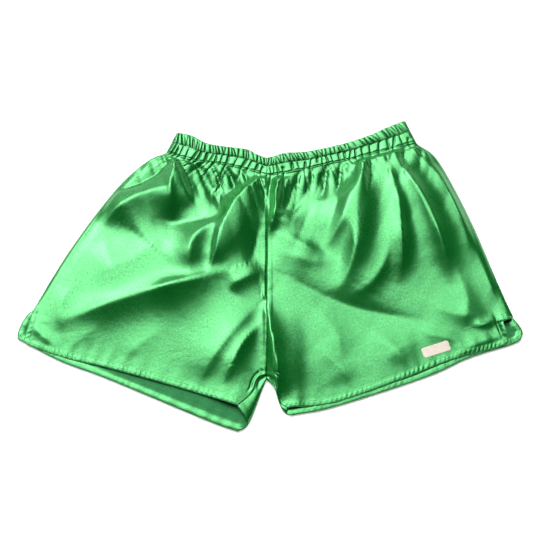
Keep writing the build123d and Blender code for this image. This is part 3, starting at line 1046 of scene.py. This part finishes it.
def satin(name, inside=False):
    """Green polyester satin: fine slanted weave, streaky yarn, broad soft highlights, paler worn edges, and
    painted shade in the hollows between the casing's pleats.

    The inside of the cloth is its dull face, except where the turned hem shows the satin face again.
    """
    material, tree, bsdf = shader(name)
    coords = node(tree, "UVMap", uv_map="weave").outputs[0]
    # broad unevenness of the dye, and streaks along the yarn
    broad = noise(tree, coords, 14.0, 3.0)
    stretch = node(tree, "Mapping", Vector=coords, Scale=(2600.0, 90.0, 1.0)).outputs[0]
    yarn = noise(tree, stretch, 1.0, 2.0)
    shade = blend_colours(tree, broad, (0.0, 0.088, 0.007, 1), (0.0, 0.130, 0.014, 1))
    streak = ranged(tree, yarn, 0.88, 1.12)
    tinted = node(tree, "VectorMath", operation="SCALE", Vector=shade, Scale=streak).outputs[0]
    # paler where the edges are worn
    wear = node(tree, "Attribute", attribute_name="wear").outputs["Fac"]
    worn = calculate(tree, "MULTIPLY", wear, noise(tree, coords, 260.0, 2.0))
    colour = blend_colours(tree, worn, tinted, (0.10, 0.42, 0.16, 1))
    # grain of the yarn crossings in the gloss, and painted shade: near-black colour and little gloss in the
    # groove between two pleats of the casing
    grain = noise(tree, coords, 330.0, 3.0, 0.75)
    groove = node(tree, "Attribute", attribute_name="groove").outputs["Fac"]
    # painted shade: the groove attribute turns the colour towards near black
    colour = blend_colours(tree, groove, colour, (0.0, 0.008, 0.001, 1))
    gloss = ranged(tree, grain, 0.5 - GRAIN, 0.5 + GRAIN)
    # painted shade: the same attribute takes most of the gloss away
    gloss = calculate(tree, "MULTIPLY", gloss, ranged(tree, groove, 1.0, 0.12))
    rough = ranged(tree, broad, 0.24, 0.31)
    if inside:
        turned = node(tree, "Attribute", attribute_name="hem").outputs["Fac"]
        dull = blend_colours(tree, grain, (0.004, 0.09, 0.025, 1), (0.03, 0.22, 0.07, 1))
        colour = blend_colours(tree, turned, dull, colour)
        gloss = calculate(tree, "MULTIPLY", gloss, ranged(tree, turned, 0.22, 1.0))
        rough = calculate(tree, "ADD", rough, ranged(tree, turned, 0.25, 0.0))
    # slanted satin floats, yarn relief, and crumple too fine for the mesh
    turn = (0, 0, math.radians(28))
    slant = node(tree, "Mapping", Vector=coords, Scale=(1400.0, 1400.0, 1.0), Rotation=turn).outputs[0]
    floats = node(tree, "TexWave", Vector=slant, Scale=0.32, Distortion=1.2, Detail=1.0).outputs["Fac"]
    fine = relief(tree, floats, 0.10, 0.00012)
    slub = relief(tree, yarn, 0.16, 0.0002, Normal=fine)
    creases = relief(tree, noise(tree, coords, 42.0, 5.0, 0.55), 0.12, 0.004, Normal=slub)
    gloss_values = {"Specular IOR Level": gloss, "Roughness": rough, "IOR": 2.6, "Specular Tint": SHEEN}
    cover(tree, bsdf, {"Base Color": colour, "Normal": creases, **gloss_values})
    return material


def plain_cloth(name, dark, light, roughness, scale, strength):
    """Thread, overlocking or elastic: two tones of yarn with a ribbed relief."""
    material, tree, bsdf = shader(name)
    place = node(tree, "TexCoord").outputs["Object"]
    rib = node(tree, "TexWave", Vector=place, Scale=scale, Distortion=1.5, Detail=1.0).outputs["Fac"]
    fuzz = noise(tree, place, scale * 3, 3.0)
    colour = blend_colours(tree, fuzz, (*dark, 1), (*light, 1))
    rough = ranged(tree, fuzz, roughness - 0.1, roughness + 0.1)
    normal = relief(tree, rib, strength, 0.0002)
    cover(tree, bsdf, {"Base Color": colour, "Roughness": rough, "Sheen Weight": 0.2, "Normal": normal})
    return material


def print_ink():
    """Thin cream print, cracked and rubbed so that a little green shows through."""
    material, tree, bsdf = shader("print")
    coords = node(tree, "UVMap", uv_map="weave").outputs[0]
    cracks = node(tree, "TexVoronoi", Vector=coords, Scale=420.0, feature="DISTANCE_TO_EDGE")
    rubbed = noise(tree, coords, 160.0, 4.0)
    tone = blend_colours(tree, rubbed, (0.74, 0.60, 0.50, 1), (0.92, 0.84, 0.74, 1))
    thin = calculate(tree, "MULTIPLY", ranged(tree, cracks.outputs["Distance"], 1.0, 0.0, 0.0, 0.035), 0.35)
    colour = blend_colours(tree, thin, tone, (0.10, 0.40, 0.15, 1))
    cover(tree, bsdf, {"Base Color": colour, "Roughness": 0.55, "Normal": relief(tree, rubbed, 0.2, 0.0001)})
    return material


# ---------------------------------------------------------------- the shorts
def seams_of(side, above, below, thread, overlock):
    """Lines of stitching and overlocked seams of one half."""
    name = SIDE_NAME[side]
    t = np.linspace(0, 1, 400)
    for label, down in (("channel", CHANNEL), ("casing_edge", PINCH_ROWS[1])):
        line = spline(waist_line(side, down), t)
        line = line[abs(line[:, 0]) > 0.8]
        stitches(f"{label}_stitching_front_{name}", above, line, True, thread)
        stitches(f"{label}_stitching_back_{name}", below, line, False, thread)
    for layer, tree in (("front", above), ("back", below)):
        path = inset_path(hem_path(layer, side), side, HEM_STITCH)[6:-6]
        stitches(f"hem_stitching_{layer}_{name}", tree, path, True, thread)
    seam = spline([(x - side * 5.0, y) for x, y in SIDE[side][1:]], np.linspace(0.02, 0.93, 260))
    strip(f"side_seam_overlock_{name}", seam, below, True, 0.9, overlock)
    leg = leg_path(side)[3:25] + (side * 4.5, 2.0)
    strip(f"inseam_overlock_{name}", leg, above, False, -1.4, overlock)


def shorts():
    """All pieces of the shorts. The rise seam allowances lie under the left half."""
    settled = drape()
    cloth = satin("satin"), satin("satin_inside", inside=True)
    thread = plain_cloth("thread", (0.02, 0.34, 0.07), (0.06, 0.52, 0.15), 0.4, 900.0, 0.4)
    overlock = plain_cloth("seam_allowance", (0.01, 0.16, 0.035), (0.03, 0.30, 0.08), 0.6, 500.0, 0.5)
    knit = plain_cloth("elastic", (0.55, 0.55, 0.52), (0.80, 0.80, 0.77), 0.75, 420.0, 0.6)
    for side in (RIGHT, LEFT):
        front, body, v = panel("front", side, settled, cloth)
        back, _, _ = panel("back", side, settled, cloth, inseam=(body, v))
        above, below = surface(front), surface(back)
        seams_of(side, above, below, thread, overlock)
    top, bottom = WAIST_LOW[LEFT][0][1] - 3, CROTCH["front"][1] + 14
    rise = spline([(3.4, top), (3.4, bottom)], np.linspace(0, 1, 320))
    strip("front_rise_overlock", rise, above, False, -1.4, overlock)
    strip("back_rise_overlock", rise, below, True, 0.9, overlock)
    elastic_loop(knit)
    patch(above, print_ink())


# ---------------------------------------------------------------- floor, light and camera
CAMERA_HEIGHT = 66
CAMERA_DISTANCE = 1.3
LENS = 67.5
FLOOR_REACH = 9000


def pale_floor():
    """Matt near-white table with a faint mottle."""
    corners = [(x * FLOOR_REACH, y * FLOOR_REACH, 0) for x, y in ((-1, -1), (1, -1), (1, 1), (-1, 1))]
    floor = new_mesh("floor", corners, [(0, 1, 2, 3)])
    material, tree, bsdf = shader("floor")
    mottle = node(tree, "TexNoise", Scale=9.0, Detail=2.0).outputs[0]
    tone = blend_colours(tree, mottle, (0.91, 0.91, 0.91, 1), (0.93, 0.93, 0.93, 1))
    glow = {"Emission Color": (1, 1, 1, 1), "Emission Strength": 0.30}
    cover(tree, bsdf, {"Base Color": tone, "Roughness": 0.8, **glow})
    floor.data.materials.append(material)


def lamp(name, place, size, power):
    light = bpy.data.lights.new(name, "AREA")
    light.shape = "RECTANGLE"
    light.size, light.size_y = size
    light.energy = power
    obj = add_to_scene(name, light)
    obj.location = place
    obj.rotation_euler = (-Vector(place)).to_track_quat("-Z", "Y").to_euler()


# Soft boxes overhead: centre, half size and width of the faded rim, as tangents of the angle from straight
# up, and then the light.
SOFT_BOXES = [
    ((-0.25, 1.20), (0.46, 0.92), 0.34, 3.5),
    ((-0.80, 1.55), (0.55, 0.95), 0.62, 1.85),
]
BACKDROP_TOP = 0.08, 0.32
ROOM_LIGHT = 0.02


def faded(tree, value, start, end):
    """1 up to the start, falling smoothly to 0 at the end."""
    return ranged(tree, value, 1.0, 0.0, start, end, interpolation_type="SMOOTHSTEP")


def soft_box(tree, tangents, centre, half, rim, light):
    glow = light
    for tangent, middle, reach in zip(tangents, centre, half):
        offset = calculate(tree, "ABSOLUTE", calculate(tree, "SUBTRACT", tangent, middle))
        glow = calculate(tree, "MULTIPLY", faded(tree, offset, reach, reach + rim), glow)
    return glow


def studio():
    """Large soft boxes with faded edges above, and a pale backdrop low all round."""
    world = bpy.data.worlds.new("studio")
    bpy.context.scene.world = world
    world.use_nodes = True
    tree = world.node_tree
    x, y, z = node(tree, "SeparateXYZ", Vector=node(tree, "TexCoord").outputs["Generated"]).outputs
    up = calculate(tree, "MAXIMUM", z, 0.02)
    tangents = [calculate(tree, "DIVIDE", value, up) for value in (x, y)]
    light = calculate(tree, "ADD", faded(tree, z, *BACKDROP_TOP), ROOM_LIGHT)
    for box in SOFT_BOXES:
        light = calculate(tree, "ADD", light, soft_box(tree, tangents, *box))
    cover(tree, tree.nodes["Background"], {"Color": (1, 1, 1, 1), "Strength": light})


def camera():
    data = bpy.data.cameras.new("camera")
    data.lens = LENS
    data.sensor_width = 36
    obj = add_to_scene("camera", data)
    tilt = math.radians(CAMERA_HEIGHT)
    obj.location = (0, -CAMERA_DISTANCE * math.cos(tilt), CAMERA_DISTANCE * math.sin(tilt))
    obj.rotation_euler = (math.pi / 2 - tilt, 0, 0)
    bpy.context.scene.camera = obj


shorts()
pale_floor()
studio()
lamp("key", (-1.1, 1.5, 1.9), (0.7, 0.7), 10)
camera()
bpy.context.scene.view_settings.view_transform = "Standard"
